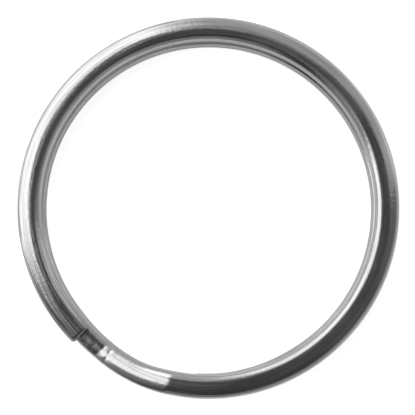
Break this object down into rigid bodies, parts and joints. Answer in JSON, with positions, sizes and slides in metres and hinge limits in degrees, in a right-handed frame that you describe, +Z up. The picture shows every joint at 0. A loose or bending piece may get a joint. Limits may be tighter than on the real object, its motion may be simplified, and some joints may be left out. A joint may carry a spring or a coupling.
{
  "type": "split key ring",
  "caption": "Flat sprung ring of oval wire coiled nearly twice, with a short ramp between the turns; a key is pushed in under a free end and walked round on to it.",
  "frame": {"origin": "middle of the ring's hole, on the plane that the ring lies on", "axes": "+Z up through the hole, square to both turns; the ramp between the turns is at 245.4 degrees from +X towards +Y, and the free end that shows from above is at 225.5 degrees"},
  "size_m": [0.032, 0.032, 0.0026],
  "materials": {
    "plated_wire": "bright nickel plate on hard-drawn spring steel, with fine lines along the wire"
  },
  "bodies": {
    "crossover": {"crossover": "plated_wire"},
    "upper_turn_01": {"upper_turn_01": "plated_wire"},
    "upper_turn_02": {"upper_turn_02": "plated_wire"},
    "upper_turn_03": {"upper_turn_03": "plated_wire"},
    "upper_turn_04": {"upper_turn_04": "plated_wire"},
    "upper_turn_05": {"upper_turn_05": "plated_wire"},
    "upper_turn_06": {"upper_turn_06": "plated_wire"},
    "upper_turn_07": {"upper_turn_07": "plated_wire"},
    "upper_turn_08": {"upper_turn_08": "plated_wire"},
    "upper_turn_09": {"upper_turn_09": "plated_wire"},
    "upper_free_end": {"upper_free_end": "plated_wire"},
    "lower_turn_01": {"lower_turn_01": "plated_wire"},
    "lower_turn_02": {"lower_turn_02": "plated_wire"},
    "lower_turn_03": {"lower_turn_03": "plated_wire"},
    "lower_turn_04": {"lower_turn_04": "plated_wire"},
    "lower_turn_05": {"lower_turn_05": "plated_wire"},
    "lower_turn_06": {"lower_turn_06": "plated_wire"},
    "lower_turn_07": {"lower_turn_07": "plated_wire"},
    "lower_turn_08": {"lower_turn_08": "plated_wire"},
    "lower_turn_09": {"lower_turn_09": "plated_wire"},
    "lower_free_end": {"lower_free_end": "plated_wire"}
  },
  "joints": [
    {"name": "upper_turn_flexes_at_01", "type": "hinge", "parent": "crossover", "child": "upper_turn_01", "pos_m": [-0.00268, -0.01476, 0.00194], "axis": [0.9854, -0.1702, 0], "range_deg": [0, 0.2774], "stiffness_Nm_per_rad": 0.0563},
    {"name": "upper_turn_flexes_at_02", "type": "hinge", "parent": "upper_turn_01", "child": "upper_turn_02", "pos_m": [0.00569, -0.01388, 0.00194], "axis": [0.4541, 0.891, 0], "range_deg": [0, 0.5155], "stiffness_Nm_per_rad": 0.0552},
    {"name": "upper_turn_flexes_at_03", "type": "hinge", "parent": "upper_turn_02", "child": "upper_turn_03", "pos_m": [0.01227, -0.00863, 0.00194], "axis": [-0.0547, 0.9985, 0], "range_deg": [0, 0.7892], "stiffness_Nm_per_rad": 0.0553},
    {"name": "upper_turn_flexes_at_04", "type": "hinge", "parent": "upper_turn_03", "child": "upper_turn_04", "pos_m": [0.01499, -0.00067, 0.00194], "axis": [-0.3834, 0.9236, 0], "range_deg": [0, 0.9707], "stiffness_Nm_per_rad": 0.0558},
    {"name": "upper_turn_opens_at_05", "type": "hinge", "parent": "upper_turn_04", "child": "upper_turn_05", "pos_m": [0.01299, 0.0075, 0.00194], "axis": [-0.6177, 0.7864, 0], "range_deg": [0, 1.04], "stiffness_Nm_per_rad": 0.0563},
    {"name": "upper_turn_flexes_at_06", "type": "hinge", "parent": "upper_turn_05", "child": "upper_turn_06", "pos_m": [0.0069, 0.01332, 0.00194], "axis": [-0.8051, 0.5931, 0], "range_deg": [0, 1.04], "stiffness_Nm_per_rad": 0.0563},
    {"name": "upper_turn_flexes_at_07", "type": "hinge", "parent": "upper_turn_06", "child": "upper_turn_07", "pos_m": [-0.00135, 0.01494, 0.00194], "axis": [-0.9351, 0.3545, 0], "range_deg": [0, 0.965], "stiffness_Nm_per_rad": 0.0558},
    {"name": "upper_turn_flexes_at_08", "type": "hinge", "parent": "upper_turn_07", "child": "upper_turn_08", "pos_m": [-0.00919, 0.01186, 0.00194], "axis": [-0.9965, 0.0834, 0], "range_deg": [0, 0.8117], "stiffness_Nm_per_rad": 0.0551},
    {"name": "upper_turn_flexes_at_09", "type": "hinge", "parent": "upper_turn_08", "child": "upper_turn_09", "pos_m": [-0.01413, 0.00505, 0.00194], "axis": [-0.9794, -0.2018, 0], "range_deg": [0, 0.5888], "stiffness_Nm_per_rad": 0.0543},
    {"name": "upper_turn_flexes_at_10", "type": "hinge", "parent": "upper_turn_09", "child": "upper_free_end", "pos_m": [-0.01462, -0.00335, 0.00194], "axis": [-0.8792, -0.4765, 0], "range_deg": [0, 0.3108], "stiffness_Nm_per_rad": 0.0538},
    {"name": "lower_turn_flexes_at_01", "type": "hinge", "parent": "crossover", "child": "lower_turn_01", "pos_m": [-0.00942, -0.01167, 0.00064], "axis": [-0.7727, 0.6347, 0], "range_deg": [0, 0.2774], "stiffness_Nm_per_rad": 0.0563},
    {"name": "lower_turn_flexes_at_02", "type": "hinge", "parent": "lower_turn_01", "child": "lower_turn_02", "pos_m": [-0.01422, -0.00476, 0.00064], "axis": [0.3777, 0.9259, 0], "range_deg": [0, 0.5155], "stiffness_Nm_per_rad": 0.0552},
    {"name": "lower_turn_flexes_at_03", "type": "hinge", "parent": "lower_turn_02", "child": "lower_turn_03", "pos_m": [-0.01455, 0.00364, 0.00064], "axis": [0.7916, 0.611, 0], "range_deg": [0, 0.7892], "stiffness_Nm_per_rad": 0.0553},
    {"name": "lower_turn_flexes_at_04", "type": "hinge", "parent": "lower_turn_03", "child": "lower_turn_04", "pos_m": [-0.0103, 0.01091, 0.00064], "axis": [0.9497, 0.3132, 0], "range_deg": [0, 0.9707], "stiffness_Nm_per_rad": 0.0558},
    {"name": "lower_turn_opens_at_05", "type": "hinge", "parent": "lower_turn_04", "child": "lower_turn_05", "pos_m": [-0.00281, 0.01474, 0.00064], "axis": [0.9989, 0.0462, 0], "range_deg": [0, 1.04], "stiffness_Nm_per_rad": 0.0563},
    {"name": "lower_turn_flexes_at_06", "type": "hinge", "parent": "lower_turn_05", "child": "lower_turn_06", "pos_m": [0.00557, 0.01393, 0.00064], "axis": [0.9751, -0.2219, 0], "range_deg": [0, 1.04], "stiffness_Nm_per_rad": 0.0563},
    {"name": "lower_turn_flexes_at_07", "type": "hinge", "parent": "lower_turn_06", "child": "lower_turn_07", "pos_m": [0.01219, 0.00874, 0.00064], "axis": [0.8793, -0.4762, 0], "range_deg": [0, 0.965], "stiffness_Nm_per_rad": 0.0558},
    {"name": "lower_turn_flexes_at_08", "type": "hinge", "parent": "lower_turn_07", "child": "lower_turn_08", "pos_m": [0.01498, 0.0008, 0.00064], "axis": [0.7143, -0.6999, 0], "range_deg": [0, 0.8117], "stiffness_Nm_per_rad": 0.0551},
    {"name": "lower_turn_flexes_at_09", "type": "hinge", "parent": "lower_turn_08", "child": "lower_turn_09", "pos_m": [0.01305, -0.0074, 0.00064], "axis": [0.4872, -0.8733, 0], "range_deg": [0, 0.5888], "stiffness_Nm_per_rad": 0.0543},
    {"name": "lower_turn_flexes_at_10", "type": "hinge", "parent": "lower_turn_09", "child": "lower_free_end", "pos_m": [0.00701, -0.01326, 0.00064], "axis": [0.2137, -0.9769, 0], "range_deg": [0, 0.3108], "stiffness_Nm_per_rad": 0.0538}
  ],
  "couplings": [
    {"joint": "upper_turn_flexes_at_01", "follows": "upper_turn_opens_at_05", "ratio": 0.264},
    {"joint": "upper_turn_flexes_at_02", "follows": "upper_turn_opens_at_05", "ratio": 0.4924},
    {"joint": "upper_turn_flexes_at_03", "follows": "upper_turn_opens_at_05", "ratio": 0.7548},
    {"joint": "upper_turn_flexes_at_04", "follows": "upper_turn_opens_at_05", "ratio": 0.9288},
    {"joint": "upper_turn_flexes_at_06", "follows": "upper_turn_opens_at_05", "ratio": 0.9982},
    {"joint": "upper_turn_flexes_at_07", "follows": "upper_turn_opens_at_05", "ratio": 0.9234},
    {"joint": "upper_turn_flexes_at_08", "follows": "upper_turn_opens_at_05", "ratio": 0.7764},
    {"joint": "upper_turn_flexes_at_09", "follows": "upper_turn_opens_at_05", "ratio": 0.5627},
    {"joint": "upper_turn_flexes_at_10", "follows": "upper_turn_opens_at_05", "ratio": 0.2961},
    {"joint": "lower_turn_flexes_at_01", "follows": "lower_turn_opens_at_05", "ratio": 0.264},
    {"joint": "lower_turn_flexes_at_02", "follows": "lower_turn_opens_at_05", "ratio": 0.4924},
    {"joint": "lower_turn_flexes_at_03", "follows": "lower_turn_opens_at_05", "ratio": 0.7548},
    {"joint": "lower_turn_flexes_at_04", "follows": "lower_turn_opens_at_05", "ratio": 0.9288},
    {"joint": "lower_turn_flexes_at_06", "follows": "lower_turn_opens_at_05", "ratio": 0.9982},
    {"joint": "lower_turn_flexes_at_07", "follows": "lower_turn_opens_at_05", "ratio": 0.9234},
    {"joint": "lower_turn_flexes_at_08", "follows": "lower_turn_opens_at_05", "ratio": 0.7764},
    {"joint": "lower_turn_flexes_at_09", "follows": "lower_turn_opens_at_05", "ratio": 0.5627},
    {"joint": "lower_turn_flexes_at_10", "follows": "lower_turn_opens_at_05", "ratio": 0.2961}
  ]
}
